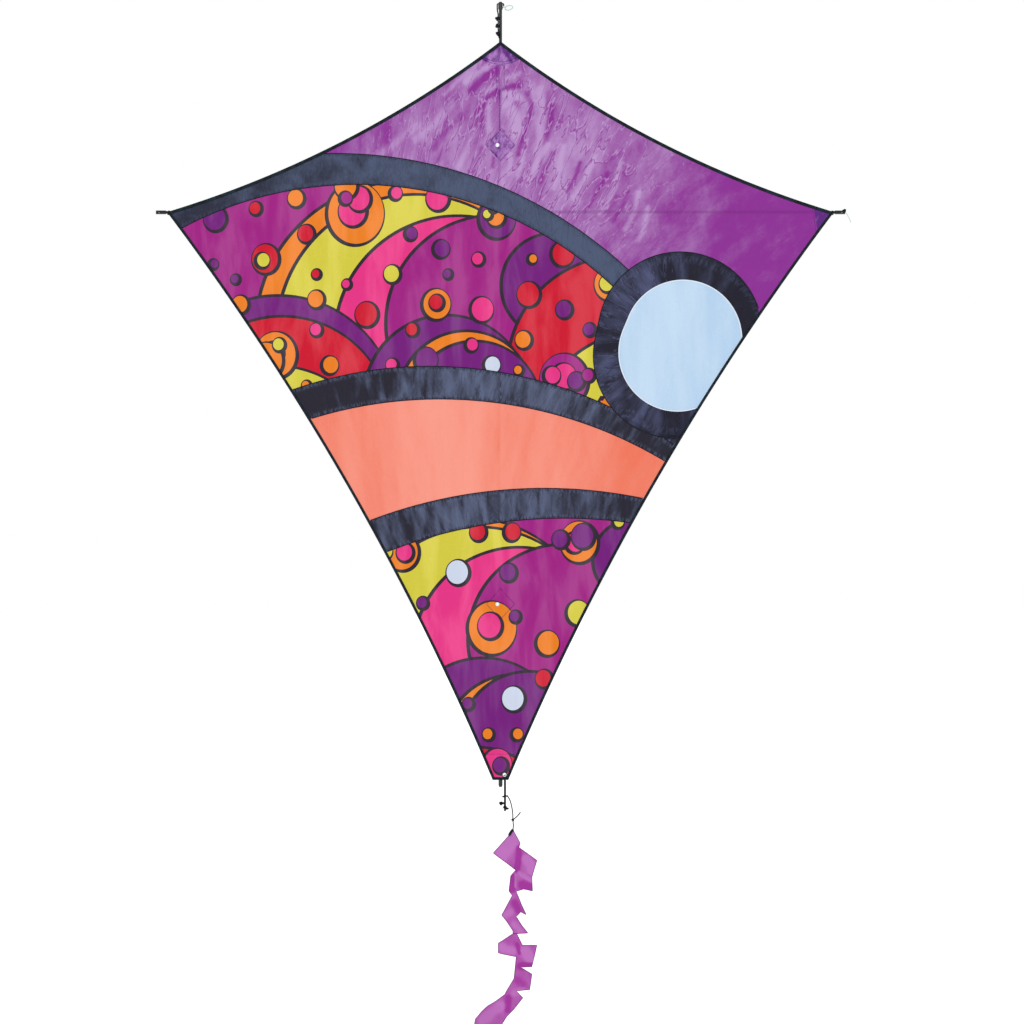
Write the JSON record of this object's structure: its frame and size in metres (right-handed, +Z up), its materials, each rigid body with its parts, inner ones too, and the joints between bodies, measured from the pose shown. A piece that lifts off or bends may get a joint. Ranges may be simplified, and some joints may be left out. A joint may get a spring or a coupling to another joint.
{
  "type": "diamond kite",
  "caption": "Diamond kite with an appliqued nylon sail on a crossed rod frame, a bowing spreader and a slit-ribbon tail on a corded leader.",
  "frame": {"origin": "on the axis of the spine rod, level with the upper bridle eyelet, where the upper bridle leg ties round the spine", "axes": "+Z up the spine towards the nose, +X towards the right wing tip seen from the front, the face of the sail looks along -Y"},
  "size_m": [1.239, 0.0212, 2.09],
  "materials": {
    "purple_nylon": "thin coated nylon, slight sheen",
    "black_nylon": "thin coated nylon, crinkled, slight sheen",
    "printed_cloth": "printed nylon, matt",
    "orange_nylon": "thin coated nylon, slight sheen",
    "pale_blue_nylon": "thin coated nylon, slight sheen",
    "binding_tape": "folded polyester tape, matt",
    "patch_cloth": "reinforcement cloth, matt",
    "eyelet_plastic": "moulded white plastic, gloss",
    "rod": "pultruded glass fibre rod, satin",
    "ferrule_metal": "drawn tube, satin",
    "black_fitting": "moulded black plastic, satin",
    "soft_vinyl": "soft black vinyl, matt",
    "black_cord": "braided polyester cord",
    "pale_line": "pale braided line",
    "tail_nylon": "slit nylon ribbon, slight sheen"
  },
  "bodies": {
    "root": {"spine_upper": "rod", "spine_lower": "rod", "spine_ferrule": "ferrule_metal", "nose_nock": "black_fitting", "spine_end_cap": "black_fitting", "centre_fitting": "black_fitting", "nose_sleeve": "patch_cloth", "tail_pocket": "binding_tape", "nose_tension_line": "black_cord", "nock_loop": "pale_line"},
    "wing_left": {"purple_panel_left": "purple_nylon", "upper_band_left": "black_nylon", "upper_print_left": "printed_cloth", "middle_band_left": "black_nylon", "orange_panel_left": "orange_nylon", "lower_band_left": "black_nylon", "lower_print_left": "printed_cloth", "leading_binding_left": "binding_tape", "trailing_binding_left": "binding_tape", "bottom_binding_left": "binding_tape", "nose_patch_left": "patch_cloth", "upper_bridle_patch_left": "patch_cloth", "lower_bridle_patch_left": "patch_cloth", "tip_patch_left": "patch_cloth", "tail_patch_left": "patch_cloth", "spreader_left": "rod", "socket_left": "soft_vinyl", "tip_nock_left": "black_fitting", "tip_line_left": "black_cord", "upper_eyelet": "eyelet_plastic", "lower_eyelet": "eyelet_plastic"},
    "wing_right": {"purple_panel_right": "purple_nylon", "upper_band_right": "black_nylon", "upper_print_right": "printed_cloth", "middle_band_right": "black_nylon", "orange_panel_right": "orange_nylon", "lower_band_right": "black_nylon", "lower_print_right": "printed_cloth", "leading_binding_right": "binding_tape", "trailing_binding_right": "binding_tape", "bottom_binding_right": "binding_tape", "nose_patch_right": "patch_cloth", "upper_bridle_patch_right": "patch_cloth", "lower_bridle_patch_right": "patch_cloth", "tip_patch_right": "patch_cloth", "tail_patch_right": "patch_cloth", "spreader_right": "rod", "socket_right": "soft_vinyl", "tip_nock_right": "black_fitting", "tip_line_right": "black_cord", "tip_tag_right": "pale_line", "disc": "pale_blue_nylon", "disc_ring": "black_nylon", "tail_eyelet": "eyelet_plastic"},
    "leader": {"tail_leader": "black_cord"},
    "tail_upper": {"tail_tie": "black_cord", "tail_strip_upper": "tail_nylon"},
    "tail_middle": {"tail_strip_middle": "tail_nylon"},
    "tail_lower": {"tail_strip_lower": "tail_nylon"}
  },
  "joints": [
    {"name": "wing_right_bow", "type": "hinge", "parent": "root", "child": "wing_right", "pos_m": [0, 0, -0.119], "axis": [0, 0, 1], "range_deg": [0, 15], "stiffness_Nm_per_rad": 1.5},
    {"name": "wing_left_bow", "type": "hinge", "parent": "root", "child": "wing_left", "pos_m": [0, 0, -0.119], "axis": [0, 0, -1], "range_deg": [0, 15], "stiffness_Nm_per_rad": 1.5},
    {"name": "leader_swing", "type": "hinge", "parent": "root", "child": "leader", "pos_m": [0.008, 0.0015, -1.124], "axis": [1, 0, 0], "range_deg": [-20, 60]},
    {"name": "tail_sway", "type": "hinge", "parent": "leader", "child": "tail_upper", "pos_m": [0.008, 0.0015, -1.16], "axis": [0, -1, 0], "range_deg": [-20, 40]},
    {"name": "tail_fold_upper", "type": "hinge", "parent": "tail_upper", "child": "tail_middle", "pos_m": [0.0245, 0.0015, -1.4075], "axis": [1, 0, 0], "range_deg": [-60, 60]},
    {"name": "tail_fold_lower", "type": "hinge", "parent": "tail_middle", "child": "tail_lower", "pos_m": [-0.025, 0.0015, -1.6425], "axis": [1, 0, 0], "range_deg": [-60, 60]}
  ],
  "couplings": [
    {"joint": "wing_left_bow", "follows": "wing_right_bow", "ratio": 1}
  ]
}
